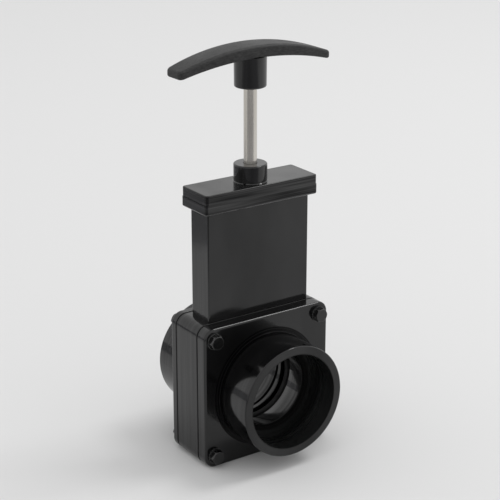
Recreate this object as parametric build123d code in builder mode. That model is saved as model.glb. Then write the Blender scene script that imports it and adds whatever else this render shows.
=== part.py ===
"""Slide gate valve for solvent-cemented pipe.

Three clamped layers carry a pipe socket on each side and a hollow bonnet on top. A flat gate slides in
the bonnet on a round pull rod with a T handle. +Z is up, the flow runs along Y, the front socket faces -Y,
and the origin lies on the floor under the gate. All lengths are millimetres.
"""
import os

from build123d import *

# Pipe sockets and flow passage
pipe_diameter = 60.3
pipe_clearance = 0.1
socket_depth = 23.0
hub_wall = 5.2
hub_edge = 0.8
front_hub_reach = 28.2
rear_hub_reach = 32.0
hub_collar_lip = 2.1
hub_collar_height = 0.6
hub_collar_edge = 0.15
hub_root_fillet = 0.35
passage_diameter = 50.0
passage_draft = 1.0
passage_lip = 0.4

# Clamped body layers
plate_width = 91.0
plate_height = 91.2
axis_drop = 1.0
plate_corner = 7.0
plate_edge = 1.3
seam_gap = 0.8
seam_depth = 1.0
seam_round = 0.4
front_plate = 8.9
rear_plate = 6.0
body_front = 9.5
body_rear = 13.3

# Gate, its seals and its slot
gate_thickness = 3.0
gate_clearance = 0.3
gate_lap = 3.0
gate_side_play = 1.5
slot_play = 0.6
seal_thickness = 3.2
seal_lap = 4.8
seat_clearance = 0.2
seal_edge = 0.4
seal_relief = 0.9
seal_relief_depth = 1.5

# Bonnet and its cap
bonnet_width = 73.0
bonnet_depth = 18.6
bonnet_wall = 2.2
bonnet_floor = 3.0
bonnet_height = 69.2
bonnet_corner = 0.9
tenon_inset = 3.2
tenon_bolt_wall = 0.8
tenon_clearance = 0.1
rim_width = 80.8
rim_depth = 26.8
rim_thickness = 6.1
rim_corner = 1.8
rim_edge = 0.9
cap_setback = 0.4
cap_thickness = 6.1
cap_edge = 0.7

# Gland and pull rod
gland_diameter = 20.4
gland_height = 10.8
gland_edge = 0.8
gland_foot = 0.5
gland_spigot_diameter = 14.0
gland_mouth = 0.4
rod_diameter = 8.0
rod_running_clearance = 0.05
rod_fit_clearance = 0.05
rod_tip = 0.8
rod_exposed = 46.3

# Gate travel: the rest pose is a little short of fully open
closed_gap = 1.0

# Carrier boss on top of the gate
carrier_diameter = 11.6
carrier_height = 12.0
carrier_floor_gap = 1.2
carrier_root = 6.0
carrier_edge = 0.8
gate_shoulder = 6.0

# T handle
handle_boss_diameter = 19.3
handle_boss_draft = 0.15
handle_boss_length = 18.4
handle_boss_edge = 1.2
rod_socket_roof = 3.5
grip_length = 106.0
grip_depth = 19.0
grip_end_depth = 16.0
grip_thickness = 7.3
grip_end_thickness = 4.9
grip_droop = 7.3
grip_end_corner = 3.3
grip_top_edge = 2.0
grip_low_edge = 1.3

# Clamp bolts
bolt_diameter = 5.0
bolt_hole_clearance = 0.25
bolt_side_inset = 7.0
bolt_end_inset = 7.7
bolt_tail = 1.5
bolt_tip = 0.5
bolt_head_height = 3.4
hex_width = 8.0
hex_edge = 0.75
nut_height = 4.0
nut_clearance = 0.1
washer_diameter = 10.0
washer_thickness = 0.8

# Places that follow from the sizes above
socket_radius = pipe_diameter / 2 + pipe_clearance
hub_radius = socket_radius + hub_wall
passage_radius = passage_diameter / 2
seal_radius = passage_radius + seal_lap
seat_radius = seal_radius + seat_clearance
axis_height = plate_height / 2 - axis_drop
front_face = body_front + front_plate
rear_face = body_rear + rear_plate
seal_start = gate_thickness / 2 + gate_clearance
seal_end = seal_start + seal_thickness
gate_radius = passage_radius + gate_lap
slot_width = 2 * (gate_radius + gate_side_play)
slot_thickness = gate_thickness + 2 * slot_play
bolt_hole_radius = bolt_diameter / 2 + bolt_hole_clearance
bolt_x = plate_width / 2 - bolt_side_inset
bolt_low = bolt_end_inset
bolt_high = plate_height - bolt_end_inset
hex_corner_radius = hex_width / 3**0.5
tenon_length = bolt_end_inset - bolt_hole_radius - tenon_bolt_wall
bonnet_top = plate_height + bonnet_height
cap_width = rim_width - 2 * cap_setback
cap_base = bonnet_top + rim_thickness
cap_top = cap_base + cap_thickness
gland_top = cap_top + gland_height
rod_radius = rod_diameter / 2
travel_down = rod_exposed - closed_gap
gate_centre = axis_height + travel_down
carrier_base = plate_height + bonnet_floor + carrier_floor_gap + travel_down
rod_foot = carrier_base + carrier_root
handle_boss_base = gland_top + rod_exposed
grip_underside = handle_boss_base + handle_boss_length
grip_top = grip_underside + grip_thickness
grip_end_low = grip_underside - grip_droop
rod_head = grip_underside - rod_socket_roof

os.makedirs("parts", exist_ok=True)


def outward_plane(side, x, y, z):
    """A plane whose normal points out of the front (side -1) or rear (side 1), with local y up."""
    return Plane(origin=(x, y, z), x_dir=(-side, 0, 0), z_dir=(0, side, 0))


def drill_bolt_holes():
    """Cut the four clamp-bolt holes through the part being built on a flow-axis plane."""
    with Locations((0, axis_drop)):
        with GridLocations(2 * bolt_x, bolt_high - bolt_low, 2, 2):
            Hole(bolt_hole_radius)


def make_flange(side, inner_face, plate, hub_reach):
    """A flange plate with its pipe socket outside and its seal spigot inside."""
    base = outward_plane(side, 0, side * inner_face, axis_height)
    outward = Axis(base.origin, base.z_dir)
    section = Plane(origin=base.origin, x_dir=base.x_dir, z_dir=-base.y_dir)
    spigot = inner_face - seal_end
    hub_end = plate + hub_reach
    pipe_stop = hub_end - socket_depth
    spigot_radius = passage_radius + passage_draft
    relief_radius = spigot_radius + seal_relief_depth
    relief_start = seal_relief - spigot
    collar_radius = hub_radius + hub_collar_lip
    collar_end = plate + hub_collar_height
    with BuildPart(base) as flange:
        with BuildSketch(base.offset(seam_gap)):
            with Locations((0, axis_drop)):
                RectangleRounded(plate_width, plate_height, plate_corner)
            Circle(seal_radius, mode=Mode.SUBTRACT)
        extrude(amount=plate - seam_gap)
        fillet(flange.faces().sort_by(outward)[-1].outer_wire().edges(), plate_edge)
        fillet(flange.faces().sort_by(outward)[0].outer_wire().edges(), seam_round)
        with BuildSketch(base):
            with Locations((0, axis_drop)):
                RectangleRounded(plate_width, plate_height, plate_corner)
            offset(amount=-seam_depth)
            Circle(seal_radius, mode=Mode.SUBTRACT)
        extrude(amount=seam_gap)
        drill_bolt_holes()
        with BuildSketch(section) as profile:
            with BuildLine():
                Polyline(
                    (spigot_radius, relief_start),
                    (relief_radius, relief_start),
                    (relief_radius, -spigot),
                    (seal_radius, -spigot),
                    (seal_radius, 0),
                    (collar_radius, 0),
                    (collar_radius, collar_end),
                    (hub_radius, collar_end),
                    (hub_radius, hub_end),
                    (socket_radius, hub_end),
                    (socket_radius, pipe_stop),
                    (passage_radius, pipe_stop),
                    close=True,
                )
            make_face()
            fillet(profile.vertices().sort_by_distance((hub_radius, collar_end))[0], hub_root_fillet)
            chamfer(profile.vertices().sort_by_distance((collar_radius, collar_end))[0], hub_collar_edge)
            fillet(profile.vertices().sort_by_distance((hub_radius, hub_end))[0], hub_edge)
            fillet(profile.vertices().sort_by_distance((passage_radius, pipe_stop))[0], passage_lip)
        revolve(axis=outward)
    return flange.part


def make_seal(side):
    """A rubber ring between a flange spigot and the gate."""
    base = outward_plane(side, 0, side * seal_start, axis_height)
    with BuildPart(base) as seal:
        with BuildSketch(base):
            Circle(seal_radius)
            Circle(passage_radius, mode=Mode.SUBTRACT)
        extrude(amount=seal_thickness)
        chamfer(seal.edges().filter_by(GeomType.CIRCLE).sort_by(SortBy.LENGTH)[:2], seal_edge)
    return seal.part


def make_washer(base):
    """A flat washer standing on the given plane."""
    with BuildPart(base) as washer:
        with BuildSketch(base):
            Circle(washer_diameter / 2)
            Circle(bolt_hole_radius, mode=Mode.SUBTRACT)
        extrude(amount=washer_thickness)
    return washer.part


def make_nut(base):
    """A hexagon nut standing on the given plane."""
    with BuildPart(base) as nut:
        with BuildSketch(base):
            Circle(hex_corner_radius)
        extrude(amount=nut_height)
        chamfer(nut.faces().sort_by(Axis(base.origin, base.z_dir))[-1].edges(), hex_edge)
        with BuildSketch(base):
            RegularPolygon(hex_width / 2, 6, major_radius=False)
        extrude(amount=nut_height, mode=Mode.INTERSECT)
        Hole(bolt_diameter / 2 + nut_clearance)
    return nut.part


def make_bolt(base, shank):
    """A hexagon bolt whose head stands on the given plane and whose shank runs back through it."""
    outward = Axis(base.origin, base.z_dir)
    with BuildPart(base) as bolt:
        with BuildSketch(base):
            Circle(hex_corner_radius)
        extrude(amount=bolt_head_height)
        chamfer(bolt.faces().sort_by(outward)[-1].edges(), hex_edge)
        with BuildSketch(base):
            RegularPolygon(hex_width / 2, 6, major_radius=False)
        extrude(amount=bolt_head_height, mode=Mode.INTERSECT)
        with BuildSketch(base):
            Circle(bolt_diameter / 2)
        extrude(amount=-shank)
        chamfer(bolt.faces().sort_by(outward)[0].edges(), bolt_tip)
    return bolt.part


def write_step(part, name):
    """Label a finished piece and write it to its own file."""
    part.label = name
    export_step(part, f"parts/{name}.step")


# Middle body layer with the seal seats, the gate slot and the bonnet pocket
body_plane = outward_plane(1, 0, -body_front, axis_height)
tenon_width = bonnet_width - 2 * tenon_inset
tenon_depth = bonnet_depth - 2 * tenon_inset
with BuildPart(body_plane) as valve_body:
    with BuildSketch(body_plane):
        with Locations((0, axis_drop)):
            RectangleRounded(plate_width, plate_height, plate_corner)
    extrude(amount=body_front + body_rear)
    fillet(valve_body.faces().sort_by(Axis.Y)[0].edges(), seam_round)
    fillet(valve_body.faces().sort_by(Axis.Y)[-1].edges(), seam_round)
    Hole(seat_radius)
    drill_bolt_holes()
    with BuildSketch(Plane.XY.offset(axis_height)):
        Rectangle(slot_width, slot_thickness)
    extrude(amount=plate_height - axis_height, mode=Mode.SUBTRACT)
    with BuildSketch(Plane.XY.offset(plate_height - tenon_length)):
        Rectangle(tenon_width + 2 * tenon_clearance, tenon_depth + 2 * tenon_clearance)
    extrude(amount=tenon_length, mode=Mode.SUBTRACT)
write_step(valve_body.part, "valve_body")

# Flange plates with their sockets, and the seals that they press against the gate
write_step(make_flange(-1, body_front, front_plate, front_hub_reach), "front_flange")
write_step(make_flange(1, body_rear, rear_plate, rear_hub_reach), "rear_flange")
write_step(make_seal(-1), "front_seal")
write_step(make_seal(1), "rear_seal")

# Hollow bonnet: top rim, tall box and tenon, with a floor that the gate passes through
with BuildPart() as bonnet:
    with BuildSketch(Plane.XY.offset(bonnet_top)):
        RectangleRounded(rim_width, rim_depth, rim_corner)
    extrude(amount=rim_thickness)
    fillet(bonnet.faces().sort_by(Axis.Z)[0].edges(), rim_edge)
    with BuildSketch(Plane.XY.offset(plate_height)):
        RectangleRounded(bonnet_width, bonnet_depth, bonnet_corner)
    extrude(amount=bonnet_height)
    with BuildSketch(Plane.XY.offset(plate_height)):
        Rectangle(tenon_width, tenon_depth)
    extrude(amount=-tenon_length)
    with BuildSketch(Plane.XY.offset(plate_height + bonnet_floor)):
        Rectangle(bonnet_width - 2 * bonnet_wall, bonnet_depth - 2 * bonnet_wall)
    extrude(amount=bonnet_height + rim_thickness, mode=Mode.SUBTRACT)
    with BuildSketch(Plane.XY.offset(plate_height - tenon_length)):
        Rectangle(slot_width, slot_thickness)
    extrude(amount=tenon_length + bonnet_floor, mode=Mode.SUBTRACT)
write_step(bonnet.part, "bonnet")

# Cap slab that closes the bonnet, with a hole for the gland
with BuildPart() as bonnet_cap:
    with BuildSketch(Plane.XY.offset(cap_base)):
        RectangleRounded(cap_width, rim_depth, rim_corner)
    extrude(amount=cap_thickness)
    fillet(bonnet_cap.faces().sort_by(Axis.Z)[-1].edges(), cap_edge)
    with Locations((0, 0, cap_top)):
        Hole(gland_spigot_diameter / 2 + seat_clearance)
write_step(bonnet_cap.part, "bonnet_cap")

# Gland: a turned bush that guides the pull rod through the cap
with BuildPart() as rod_gland:
    with BuildSketch(Plane.XZ) as gland_profile:
        with BuildLine():
            Polyline(
                (rod_radius + rod_running_clearance, cap_base),
                (gland_spigot_diameter / 2, cap_base),
                (gland_spigot_diameter / 2, cap_top),
                (gland_diameter / 2 + gland_foot, cap_top),
                (gland_diameter / 2, cap_top + gland_foot),
                (gland_diameter / 2, gland_top),
                (rod_radius + rod_running_clearance, gland_top),
                close=True,
            )
        make_face()
        fillet(gland_profile.vertices().sort_by_distance((gland_diameter / 2, gland_top))[0], gland_edge)
        chamfer(gland_profile.vertices().sort_by_distance((rod_radius, gland_top))[0], gland_mouth)
    revolve(axis=Axis.Z)
write_step(rod_gland.part, "rod_gland")

# Gate: a round-ended blade with a carrier boss that holds the foot of the rod
with BuildPart() as gate:
    with BuildSketch(Plane.XZ) as blade:
        with Locations((0, gate_centre)):
            Circle(gate_radius)
            Rectangle(2 * gate_radius, rod_foot - gate_centre, align=(Align.CENTER, Align.MIN))
        fillet(blade.vertices().group_by(Axis.Y)[-1], gate_shoulder)
    extrude(amount=gate_thickness / 2, both=True)
    with BuildSketch(Plane.XY.offset(carrier_base)):
        Circle(carrier_diameter / 2)
    extrude(amount=carrier_height)
    chamfer(gate.faces().sort_by(Axis.Z)[-1].edges(), carrier_edge)
    with BuildSketch(Plane.XY.offset(rod_foot)):
        Circle(rod_radius + rod_fit_clearance)
    extrude(amount=carrier_height, mode=Mode.SUBTRACT)
write_step(gate.part, "gate")

# Pull rod from the carrier boss up into the handle
with BuildPart() as pull_rod:
    with BuildSketch(Plane.XY.offset(rod_foot)):
        Circle(rod_radius)
    extrude(amount=rod_head - rod_foot)
    chamfer(pull_rod.edges().filter_by(GeomType.CIRCLE), rod_tip)
write_step(pull_rod.part, "pull_rod")

# Arched grip: its side view and its plan meet in one solid with softened edges
half_grip = grip_length / 2
half_end = grip_end_depth / 2
grip_end_top = grip_end_low + grip_end_thickness
with BuildPart() as handle_grip:
    with BuildSketch(Plane.XZ):
        with BuildLine():
            crown = ThreePointArc((-half_grip, grip_end_top), (0, grip_top), (half_grip, grip_end_top))
            palm = ThreePointArc((half_grip, grip_end_low), (0, grip_underside), (-half_grip, grip_end_low))
            Line(crown @ 1, palm @ 0)
            Line(palm @ 1, crown @ 0)
        make_face()
    extrude(amount=grip_depth, both=True)
    with BuildSketch(Plane.XY.offset(grip_end_low)) as plan:
        with BuildLine():
            near = ThreePointArc((-half_grip, -half_end), (0, -grip_depth / 2), (half_grip, -half_end))
            far = ThreePointArc((half_grip, half_end), (0, grip_depth / 2), (-half_grip, half_end))
            Line(near @ 1, far @ 0)
            Line(far @ 1, near @ 0)
        make_face()
        fillet(plan.vertices(), grip_end_corner)
    extrude(amount=grip_top - grip_end_low, mode=Mode.INTERSECT)
    fillet(handle_grip.faces().sort_by(Axis.Z)[-1].edges(), grip_top_edge)
    fillet(handle_grip.faces().sort_by(Axis.Z)[0].edges(), grip_low_edge)
write_step(handle_grip.part, "handle_grip")

# Handle boss: a drafted socket under the grip that takes the head of the rod
handle_boss_radius = handle_boss_diameter / 2
with BuildPart() as handle_boss:
    with BuildSketch(Plane.XZ) as boss_profile:
        with BuildLine():
            Polyline(
                (0, handle_boss_base),
                (handle_boss_radius, handle_boss_base),
                (handle_boss_radius + handle_boss_draft, grip_underside),
                (0, grip_underside),
                close=True,
            )
        make_face()
        fillet(
            boss_profile.vertices().sort_by_distance((handle_boss_radius, handle_boss_base))[0],
            handle_boss_edge,
        )
    revolve(axis=Axis.Z)
    with BuildSketch(Plane.XY.offset(handle_boss_base)):
        Circle(rod_radius + rod_fit_clearance)
    extrude(amount=rod_head - handle_boss_base, mode=Mode.SUBTRACT)
    add(handle_grip.part, mode=Mode.SUBTRACT)
write_step(handle_boss.part, "handle_boss")

# Clamp bolts with their heads at the front, and nuts at the rear
bolt_shank = front_face + rear_face + 2 * washer_thickness + nut_height + bolt_tail
bolt_places = {
    "upper_left": (-bolt_x, bolt_high),
    "upper_right": (bolt_x, bolt_high),
    "lower_left": (-bolt_x, bolt_low),
    "lower_right": (bolt_x, bolt_low),
}
for corner, (x, z) in bolt_places.items():
    front = outward_plane(-1, x, -front_face, z)
    rear = outward_plane(1, x, rear_face, z)
    write_step(make_washer(front), f"front_washer_{corner}")
    write_step(make_bolt(front.offset(washer_thickness), bolt_shank), f"bolt_{corner}")
    write_step(make_washer(rear), f"rear_washer_{corner}")
    write_step(make_nut(rear.offset(washer_thickness)), f"nut_{corner}")
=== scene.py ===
"""Dresses the slide gate valve: moulded plastic, rubber and steel finishes, floor, light and camera."""
import math

import bpy
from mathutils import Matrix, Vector


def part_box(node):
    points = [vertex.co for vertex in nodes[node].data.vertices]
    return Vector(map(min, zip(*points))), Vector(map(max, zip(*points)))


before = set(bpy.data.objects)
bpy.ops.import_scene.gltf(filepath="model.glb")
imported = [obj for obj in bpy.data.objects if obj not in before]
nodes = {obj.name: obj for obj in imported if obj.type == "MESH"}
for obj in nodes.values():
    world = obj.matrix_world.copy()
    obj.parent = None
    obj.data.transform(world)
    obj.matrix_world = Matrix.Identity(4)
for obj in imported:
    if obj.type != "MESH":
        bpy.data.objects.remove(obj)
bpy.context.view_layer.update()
scene = bpy.context.scene

# Camera, from fitting the photograph's edges
camera_yaw = math.radians(-34.491)
camera_elevation = math.radians(19.732)
camera_distance = 0.898667
camera_target = Vector((-0.00022, 0.0, 0.12809))
photo_width = 500
focal_pixels = 1478.555
sensor_width = 36.0
view_reach = 50.0

# The part of a noise's range that colours, roughness and shine run over
usual_low = 0.3
usual_high = 0.7

# Moulded plastic: its drag marks, drawn out upright or level, and how far they change its shine
gloss_index = 1.5
drag_scale = 600.0
drag_detail = 4.0
upright_drags = (0.05, 1.0, 0.02)
level_drags = (0.03, 0.03, 1.6)
plate_shine = (0.40, 0.60)
round_shine = (0.48, 0.70)
bonnet_shine = (0.44, 0.58)
cap_shine = (0.16, 0.84)
swell_scale = 30.0
swell_depth = 0.00004

# Rim of the bonnet with a painted highlight along its lower edge, and the cap's rounded edge, by depth
# below the cap's top
rim_thickness = 0.0061
rim_highlight_reach = 0.0005
cap_edge_start = 0.0007
cap_edge_end = 0.00001
cap_edge_roughness = 0.34

# Passage and socket, by distance from the flow axis, and how their rings are drawn out
passage_reach = 0.0276
socket_reach = 0.0308
passage_rings = (0.04, 1.0, 0.04)
socket_rings = (0.02, 1.0, 0.02)

# Bands of painted shade in the passage, dull and without shine, by distance from the gate: a lip at each
# pipe stop and a groove at each seal
lip_start = 0.0182
lip_end = 0.0212
band_roughness = 0.5
groove_start = 0.0049
front_groove_end = 0.0060
rear_groove_end = 0.0080

# Dulled seams, by distance from the faces of the middle layer
seam_inside = 0.0006
seam_outside = 0.0009
seam_roughness = 0.6

# Dulled collars round the hubs, with their shine dimmed as painted shade, by distance from the flow axis
# and from the gate
collar_reach = 0.0385
collar_start = 0.01835
collar_end = 0.0204
collar_roughness = 0.30
collar_shade = 0.75

# Textured plastic of the grip
grip_index = 1.45
grain_stretch = (0.3, 1.0, 1.0)
handling_stretch = (0.5, 1.0, 1.0)

# Ground steel of the rod
rod_ring_stretch = (0.05, 0.05, 8.0)
rod_streak_stretch = (1.0, 1.0, 0.02)

# Fasteners: a lean of their shading, their softened edges, and a painted highlight along their edges, found
# where the normal turns
fastener_index = 1.5
head_tilt = (0.05, 0.0, -0.02)
fastener_edge = 0.0003
edge_highlight_width = 0.0006
edge_samples = 6
highlight_full_turn = 0.80
highlight_end_turn = 0.97

# Floor and light
floor_reach = 16.0
floor_tone = 0.705
floor_shine = 0.1
world_level = 0.92
key_power = 19.0
key_size = 0.8
key_place = Vector((1.45, -0.35, 2.4))

# Cards that only the gloss sees
card_blue_share = 1.04
card_roughness = 0.9
near_card_tone = 0.25
near_card_start = 0.34
near_card_end = 1.3
near_card_half_width = 0.8
near_card_lift = 0.001
side_card_tone = 0.42
side_card_way = Vector((-0.566, 0.824, 0.0)).normalized()
side_card_distance = 0.41
side_card_half_width = 0.3
side_card_height = 0.075


def new_material(name):
    """A node material, with its shader and a coordinate in metres."""
    material = bpy.data.materials.new(name)
    material.use_nodes = True
    tree = material.node_tree
    shader = tree.nodes["Principled BSDF"]
    place = tree.nodes.new("ShaderNodeTexCoord")
    return material, tree, shader, place.outputs["Object"]


def grey(level):
    """A neutral colour."""
    return (level, level, level)


def noise(tree, place, scale, detail=3.0, stretch=(1.0, 1.0, 1.0)):
    """A noise in metres, with an optional stretch along each axis."""
    mapping = tree.nodes.new("ShaderNodeMapping")
    mapping.inputs["Scale"].default_value = stretch
    tree.links.new(place, mapping.inputs["Vector"])
    texture = tree.nodes.new("ShaderNodeTexNoise")
    texture.inputs["Scale"].default_value = scale
    texture.inputs["Detail"].default_value = detail
    tree.links.new(mapping.outputs["Vector"], texture.inputs["Vector"])
    return texture.outputs["Fac"]


def ranged(tree, value, start, end, low, high):
    """The value's run from start to end, turned into a run from low to high."""
    change = tree.nodes.new("ShaderNodeMapRange")
    change.inputs["From Min"].default_value = start
    change.inputs["From Max"].default_value = end
    change.inputs["To Min"].default_value = low
    change.inputs["To Max"].default_value = high
    tree.links.new(value, change.inputs["Value"])
    return change.outputs["Result"]


def spread(tree, value, low, high):
    """A noise's usual range, spread over low to high."""
    return ranged(tree, value, usual_low, usual_high, low, high)


def two_tones(tree, value, dark, light):
    """A colour that runs from dark to light over a noise's usual range."""
    ramp = tree.nodes.new("ShaderNodeValToRGB")
    ramp.color_ramp.elements[0].position = usual_low
    ramp.color_ramp.elements[0].color = (*dark, 1.0)
    ramp.color_ramp.elements[1].position = usual_high
    ramp.color_ramp.elements[1].color = (*light, 1.0)
    tree.links.new(value, ramp.inputs["Fac"])
    return ramp.outputs["Color"]


def reckon(tree, operation, first, second):
    """A sum on two values, each a socket or a plain number."""
    step = tree.nodes.new("ShaderNodeMath")
    step.operation = operation
    for socket, value in zip(step.inputs, (first, second)):
        if isinstance(value, float):
            socket.default_value = value
        else:
            tree.links.new(value, socket)
    return step.outputs["Value"]


def between(tree, value, start, end):
    """1 where the value lies between start and end, and 0 elsewhere."""
    past_start = reckon(tree, "GREATER_THAN", value, start)
    return reckon(tree, "MULTIPLY", past_start, reckon(tree, "LESS_THAN", value, end))


def choose(tree, chance, one, other, kind="FLOAT"):
    """One value or colour where the chance is 1, and the other where it is 0."""
    mix = tree.nodes.new("ShaderNodeMix")
    mix.data_type = kind
    sockets = {socket.identifier: socket for socket in mix.inputs}
    ending = {"FLOAT": "Float", "RGBA": "Color"}[kind]
    tree.links.new(chance, sockets["Factor_Float"])
    tree.links.new(other, sockets["A_" + ending])
    tree.links.new(one, sockets["B_" + ending])
    return next(socket for socket in mix.outputs if socket.identifier == "Result_" + ending)


def choose_finish(tree, chance, one, other):
    """One finish where the chance is 1, and the other where it is 0, each a colour, roughness and shine."""
    kinds = ("RGBA", "FLOAT", "FLOAT")
    return tuple(choose(tree, chance, *pair, kind) for *pair, kind in zip(one, other, kinds))


def axes(tree, place):
    """The coordinate's distances along X, Y and Z."""
    parts = tree.nodes.new("ShaderNodeSeparateXYZ")
    tree.links.new(place, parts.inputs["Vector"])
    return parts.outputs


def soft_edges(tree, radius):
    """A normal that rounds off sharp edges by the given radius in metres."""
    rounding = tree.nodes.new("ShaderNodeBevel")
    rounding.samples = edge_samples
    rounding.inputs["Radius"].default_value = radius
    return rounding.outputs["Normal"]


def edge_highlight_mask(tree, width):
    """1 at an edge, where the rounded normal turns from the true one, and 0 on the flats."""
    shape = tree.nodes.new("ShaderNodeNewGeometry")
    turn = tree.nodes.new("ShaderNodeVectorMath")
    turn.operation = "DOT_PRODUCT"
    tree.links.new(soft_edges(tree, width), turn.inputs[0])
    tree.links.new(shape.outputs["Normal"], turn.inputs[1])
    return ranged(tree, turn.outputs["Value"], highlight_full_turn, highlight_end_turn, low=1.0, high=0.0)


def bump(tree, shader, height, depth, strength=1.0, under=None):
    """Adds relief of the given depth in metres to the shader."""
    relief = tree.nodes.new("ShaderNodeBump")
    relief.inputs["Distance"].default_value = depth
    relief.inputs["Strength"].default_value = strength
    tree.links.new(height, relief.inputs["Height"])
    if under is not None:
        tree.links.new(under, relief.inputs["Normal"])
    tree.links.new(relief.outputs["Normal"], shader.inputs["Normal"])


def gloss_black(name, drag_stretch, drag_shine, own_faces=None):
    """Glossy black moulded plastic with faint drag marks. own_faces changes the finish on some faces."""
    material, tree, shader, place = new_material(name)
    drags = noise(tree, place, drag_scale, drag_detail, drag_stretch)
    colour = two_tones(tree, drags, dark=(0.0004, 0.0004, 0.0006), light=(0.0034, 0.0034, 0.0036))
    roughness = spread(tree, drags, low=0.15, high=0.09)
    shine = spread(tree, drags, *drag_shine)
    if own_faces is not None:
        colour, roughness, shine = own_faces(tree, place, colour, roughness, shine)
    tree.links.new(colour, shader.inputs["Base Color"])
    tree.links.new(roughness, shader.inputs["Roughness"])
    tree.links.new(shine, shader.inputs["Specular IOR Level"])
    shader.inputs["IOR"].default_value = gloss_index
    bump(tree, shader, noise(tree, place, swell_scale, detail=1.0), swell_depth)
    return material


def rim_faces(tree, place, colour, roughness, shine):
    """Adds level drag marks on the bonnet's rim, and a painted highlight along its lower edge: a light,
    broken line in the colour.
    """
    rim_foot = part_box("bonnet")[1].z - rim_thickness
    height = axes(tree, place)["Z"]
    on_rim = reckon(tree, "GREATER_THAN", height, rim_foot - rim_highlight_reach)
    # Painted highlight: a light, broken band of colour along the rim's lower edge
    on_rim_highlight = between(tree, height, rim_foot - rim_highlight_reach, rim_foot + rim_highlight_reach)
    level = noise(tree, place, drag_scale, drag_detail, level_drags)
    broken = noise(tree, place, scale=160.0)
    rim_highlight_colour = two_tones(tree, broken, dark=grey(0.03), light=grey(0.16))
    whole_colour = choose(tree, on_rim_highlight, rim_highlight_colour, colour, "RGBA")
    whole_shine = choose(tree, on_rim, spread(tree, level, *cap_shine), shine)
    return whole_colour, roughness, whole_shine


def cap_faces(tree, place, colour, roughness, shine):
    """Dulls the rounded upper edge of the cap."""
    cap_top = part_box("bonnet_cap")[1].z
    height = axes(tree, place)["Z"]
    on_edge = between(tree, height, cap_top - cap_edge_start, cap_top - cap_edge_end)
    dulling = reckon(tree, "MULTIPLY", on_edge, cap_edge_roughness)
    return colour, reckon(tree, "MAXIMUM", roughness, dulling), shine


def from_flow_axis(tree, parts):
    """Distance from the axis of the flow, which the front seal is centred on."""
    low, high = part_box("front_seal")
    axis_height = (low.z + high.z) / 2
    across = reckon(tree, "POWER", parts["X"], 2.0)
    upward = reckon(tree, "POWER", reckon(tree, "SUBTRACT", parts["Z"], axis_height), 2.0)
    return reckon(tree, "POWER", reckon(tree, "ADD", across, upward), 0.5)


def painted_shade_bands(tree, forward, rearward):
    """1 on the lip at each pipe stop and in the groove at each seal, where shade is painted, and 0 between
    them.
    """
    rear_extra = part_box("rear_flange")[1].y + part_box("front_flange")[0].y
    rear_stop_way = reckon(tree, "SUBTRACT", rearward, rear_extra)
    stop_way = reckon(tree, "MAXIMUM", rear_stop_way, forward)
    lips = ranged(tree, stop_way, lip_start, lip_end, low=0.0, high=1.0)
    front_groove = between(tree, forward, groove_start, front_groove_end)
    rear_groove = between(tree, rearward, groove_start, rear_groove_end)
    return reckon(tree, "MAXIMUM", lips, reckon(tree, "MAXIMUM", front_groove, rear_groove))


def passage_finish(tree, place, shade_bands):
    """Fine turned rings round the passage, dull and without shine on its bands of painted shade."""
    turned = noise(tree, place, scale=420.0, stretch=passage_rings)
    colour = two_tones(tree, turned, dark=grey(0.005), light=grey(0.010))
    ringed = spread(tree, turned, low=0.14, high=0.08)
    roughness = reckon(tree, "MAXIMUM", ringed, reckon(tree, "MULTIPLY", shade_bands, band_roughness))
    # Painted shade: the shine is taken away on the lips and grooves
    kept_shine = reckon(tree, "SUBTRACT", 1.0, shade_bands)
    shine = reckon(tree, "MULTIPLY", spread(tree, turned, low=0.16, high=0.84), kept_shine)
    return colour, roughness, shine


def socket_finish(tree, place):
    """Duller rings round the pipe socket."""
    rings = noise(tree, place, scale=400.0, detail=2.0, stretch=socket_rings)
    colour = two_tones(tree, rings, dark=(0.005, 0.0053, 0.0053), light=(0.010, 0.0105, 0.0105))
    roughness = spread(tree, rings, low=0.30, high=0.22)
    shine = spread(tree, rings, low=0.20, high=0.38)
    return colour, roughness, shine


def dulled_seams(tree, forward, rearward):
    """The roughness of the seams on both sides of the middle layer, and 0 elsewhere."""
    low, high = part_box("valve_body")
    front_seam = between(tree, forward, -low.y - seam_inside, -low.y + seam_outside)
    rear_seam = between(tree, rearward, high.y - seam_inside, high.y + seam_outside)
    return reckon(tree, "MULTIPLY", reckon(tree, "MAXIMUM", front_seam, rear_seam), seam_roughness)


def bored_faces(tree, place, colour, roughness, shine):
    """Adds the ringed passage and socket, dulls the seams and the collars round the hubs, and paints shade
    on the collars by dimming their shine.
    """
    parts = axes(tree, place)
    rearward = parts["Y"]
    forward = reckon(tree, "MULTIPLY", rearward, -1.0)
    radius = from_flow_axis(tree, parts)
    from_gate = reckon(tree, "MAXIMUM", rearward, forward)
    near_hub = reckon(tree, "LESS_THAN", radius, collar_reach)
    on_collar = reckon(tree, "MULTIPLY", near_hub, between(tree, from_gate, collar_start, collar_end))
    collar_dulling = reckon(tree, "MULTIPLY", on_collar, collar_roughness)
    dulling = reckon(tree, "MAXIMUM", dulled_seams(tree, forward, rearward), collar_dulling)
    outer_roughness = reckon(tree, "MAXIMUM", roughness, dulling)
    # Painted shade: the collars' shine is dimmed
    kept_shine = reckon(tree, "SUBTRACT", 1.0, reckon(tree, "MULTIPLY", on_collar, collar_shade))
    outer_shine = reckon(tree, "MULTIPLY", shine, kept_shine)
    passage = passage_finish(tree, place, painted_shade_bands(tree, forward, rearward))
    in_passage = reckon(tree, "LESS_THAN", radius, passage_reach)
    bored = choose_finish(tree, in_passage, passage, socket_finish(tree, place))
    in_socket = reckon(tree, "LESS_THAN", radius, socket_reach)
    return choose_finish(tree, in_socket, bored, (colour, outer_roughness, outer_shine))


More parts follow.
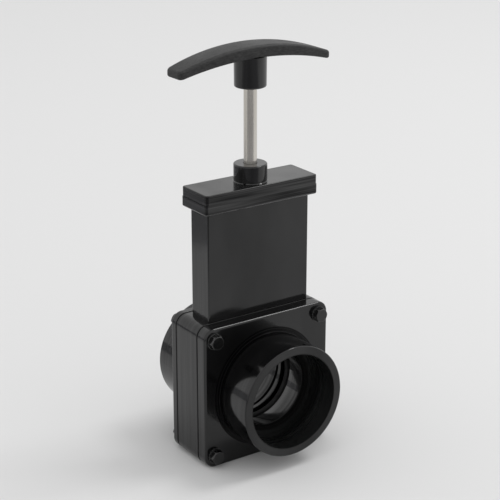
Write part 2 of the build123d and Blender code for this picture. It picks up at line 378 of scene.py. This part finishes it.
def textured_black():
    """Fine spark-eroded texture on the grip, drawn out along its length."""
    material, tree, shader, place = new_material("textured_black")
    grain = noise(tree, place, scale=1300.0, detail=4.0, stretch=grain_stretch)
    handled = noise(tree, place, scale=60.0, detail=2.0, stretch=handling_stretch)
    colour = two_tones(tree, grain, dark=(0.001, 0.001, 0.0012), light=grey(0.024))
    tree.links.new(colour, shader.inputs["Base Color"])
    tree.links.new(spread(tree, handled, low=0.42, high=0.60), shader.inputs["Roughness"])
    shader.inputs["IOR"].default_value = grip_index
    bump(tree, shader, grain, depth=0.00026, strength=0.8)
    return material


def gate_plastic():
    """Dark grey plastic of the sliding gate."""
    material, tree, shader, place = new_material("gate_plastic")
    patches = noise(tree, place, scale=60.0)
    colour = two_tones(tree, patches, dark=(0.020, 0.020, 0.021), light=(0.028, 0.028, 0.029))
    tree.links.new(colour, shader.inputs["Base Color"])
    tree.links.new(spread(tree, patches, low=0.25, high=0.36), shader.inputs["Roughness"])
    bump(tree, shader, noise(tree, place, scale=700.0), depth=0.00001)
    return material


def seal_rubber(name, rough, smooth):
    """Black rubber, whose skin runs from rough to smooth."""
    material, tree, shader, place = new_material(name)
    skin = noise(tree, place, scale=900.0)
    colour = two_tones(tree, skin, dark=grey(0.002), light=grey(0.005))
    tree.links.new(colour, shader.inputs["Base Color"])
    tree.links.new(spread(tree, skin, low=rough, high=smooth), shader.inputs["Roughness"])
    bump(tree, shader, skin, depth=0.00001, strength=0.2)
    return material


def rod_steel():
    """Ground stainless steel, with fine rings round the rod."""
    material, tree, shader, place = new_material("rod_steel")
    rings = noise(tree, place, scale=400.0, stretch=rod_ring_stretch)
    streaks = noise(tree, place, scale=900.0, stretch=rod_streak_stretch)
    colour = two_tones(tree, streaks, dark=(0.53, 0.50, 0.455), light=(0.66, 0.635, 0.59))
    tree.links.new(colour, shader.inputs["Base Color"])
    tree.links.new(spread(tree, rings, low=0.16, high=0.26), shader.inputs["Roughness"])
    shader.inputs["Metallic"].default_value = 1.0
    bump(tree, shader, rings, depth=0.000004)
    return material


def black_fastener():
    """Blackened steel of the bolts, nuts and washers, with a painted highlight: lighter in colour and
    rougher at the edges.
    """
    material, tree, shader, place = new_material("black_fastener")
    patches = noise(tree, place, scale=500.0)
    # Painted highlight: a lighter colour along the edges of every fastener
    painted_edges = edge_highlight_mask(tree, edge_highlight_width)
    black = two_tones(tree, patches, dark=(0.0025, 0.0025, 0.0027), light=grey(0.006))
    edge_highlight_colour = two_tones(tree, patches, dark=grey(0.05), light=grey(0.13))
    tree.links.new(choose(tree, painted_edges, edge_highlight_colour, black, "RGBA"), shader.inputs["Base Color"])
    smooth = spread(tree, patches, low=0.07, high=0.14)
    edge_roughness = spread(tree, patches, low=0.30, high=0.42)
    tree.links.new(choose(tree, painted_edges, edge_roughness, smooth), shader.inputs["Roughness"])
    shader.inputs["IOR"].default_value = fastener_index
    tilted = tree.nodes.new("ShaderNodeVectorMath")
    tilted.operation = "ADD"
    tilted.inputs[1].default_value = head_tilt
    tree.links.new(soft_edges(tree, fastener_edge), tilted.inputs[0])
    bump(tree, shader, patches, depth=0.00002, strength=0.4, under=tilted.outputs["Vector"])
    return material


def dress_nodes():
    """Gives every carried-over node the finish of its own slot."""
    finishes = {
        "gloss_black": gloss_black("gloss_black", upright_drags, round_shine),
        "bonnet_black": gloss_black("bonnet_black", upright_drags, bonnet_shine, rim_faces),
        "cap_black": gloss_black("cap_black", level_drags, cap_shine, cap_faces),
        "bored_black": gloss_black("bored_black", upright_drags, plate_shine, bored_faces),
        "textured_black": textured_black(),
        "gate_plastic": gate_plastic(),
        "dull_rubber": seal_rubber("dull_rubber", rough=0.75, smooth=0.60),
        "smooth_rubber": seal_rubber("smooth_rubber", rough=0.18, smooth=0.10),
        "rod_steel": rod_steel(),
        "black_fastener": black_fastener(),
    }
    own_slots = {
        "handle_grip": "textured_black",
        "bonnet": "bonnet_black",
        "bonnet_cap": "cap_black",
        "valve_body": "bored_black",
        "front_flange": "bored_black",
        "rear_flange": "bored_black",
        "gate": "gate_plastic",
        "front_seal": "dull_rubber",
        "rear_seal": "smooth_rubber",
        "pull_rod": "rod_steel",
    }
    fastener_starts = ("bolt_", "nut_", "front_washer_", "rear_washer_")
    for name, node in nodes.items():
        slot = own_slots.get(name, "gloss_black")
        if name.startswith(fastener_starts):
            slot = "black_fastener"
        node.data.materials.clear()
        node.data.materials.append(finishes[slot])


def flat_sheet(name, corners, material):
    """A four-cornered sheet, linked into the scene."""
    mesh = bpy.data.meshes.new(name)
    mesh.from_pydata([tuple(corner) for corner in corners], [], [(0, 1, 2, 3)])
    mesh.materials.append(material)
    sheet = bpy.data.objects.new(name, mesh)
    scene.collection.objects.link(sheet)
    return sheet


def make_floor():
    """A wide pale floor."""
    material, tree, shader, place = new_material("pale_floor")
    shader.inputs["Base Color"].default_value = (*grey(floor_tone), 1.0)
    patches = noise(tree, place, scale=1.2)
    tree.links.new(spread(tree, patches, low=0.86, high=0.94), shader.inputs["Roughness"])
    shader.inputs["Specular IOR Level"].default_value = floor_shine
    corner_signs = ((-1, -1), (1, -1), (1, 1), (-1, 1))
    corners = [(x * floor_reach, y * floor_reach, 0.0) for x, y in corner_signs]
    flat_sheet("floor", corners, material)


def card_finish(name, tone):
    """A plain dull finish for a studio card, a little blue."""
    material, _, shader, _ = new_material(name)
    shader.inputs["Base Color"].default_value = (tone, tone, tone * card_blue_share, 1.0)
    shader.inputs["Roughness"].default_value = card_roughness
    return material


def make_cards():
    """Two dark cards that only the gloss sees: one below the camera and one standing low at the left."""
    ahead = Vector((math.sin(camera_yaw), -math.cos(camera_yaw), 0.0))
    across = Vector((-ahead.y, ahead.x, 0.0)) * near_card_half_width
    lift = Vector((0.0, 0.0, near_card_lift))
    near = ahead * near_card_start + lift
    far = ahead * near_card_end + lift
    corners = [near - across, near + across, far + across, far - across]
    near_card = flat_sheet("near_card", corners, card_finish("near_card", near_card_tone))
    foot = side_card_way * side_card_distance
    across = Vector((-side_card_way.y, side_card_way.x, 0.0)) * side_card_half_width
    rise = Vector((0.0, 0.0, side_card_height))
    corners = [foot - across, foot + across, foot + across + rise, foot - across + rise]
    side_card = flat_sheet("side_card", corners, card_finish("side_card", side_card_tone))
    for card in (near_card, side_card):
        card.visible_camera = False
        card.visible_diffuse = False
        card.visible_shadow = False


def make_world():
    """Even pale surroundings, as in a light tent."""
    world = bpy.data.worlds.new("studio")
    world.use_nodes = True
    scene.world = world
    tent = world.node_tree.nodes["Background"]
    tent.inputs["Color"].default_value = (1.0, 1.0, 1.0, 1.0)
    tent.inputs["Strength"].default_value = world_level


def make_area_light(name, place, size, power):
    """A square light that faces the valve."""
    data = bpy.data.lights.new(name, "AREA")
    data.shape = "SQUARE"
    data.size = size
    data.energy = power
    light = bpy.data.objects.new(name, data)
    scene.collection.objects.link(light)
    light.location = place
    light.rotation_euler = (camera_target - place).to_track_quat("-Z", "Y").to_euler()


def make_camera():
    """The camera at the photograph's viewing angle."""
    back = Vector((
        math.sin(camera_yaw) * math.cos(camera_elevation),
        -math.cos(camera_yaw) * math.cos(camera_elevation),
        math.sin(camera_elevation),
    ))
    data = bpy.data.cameras.new("camera")
    data.sensor_width = sensor_width
    data.lens = sensor_width * (focal_pixels / photo_width)
    data.clip_end = view_reach
    camera = bpy.data.objects.new("camera", data)
    scene.collection.objects.link(camera)
    camera.location = camera_target + back * camera_distance
    camera.rotation_euler = (-back).to_track_quat("-Z", "Y").to_euler()
    scene.camera = camera


dress_nodes()
make_floor()
make_cards()
make_world()
make_area_light("key", key_place, key_size, key_power)
make_camera()
scene.view_settings.view_transform = "Standard"
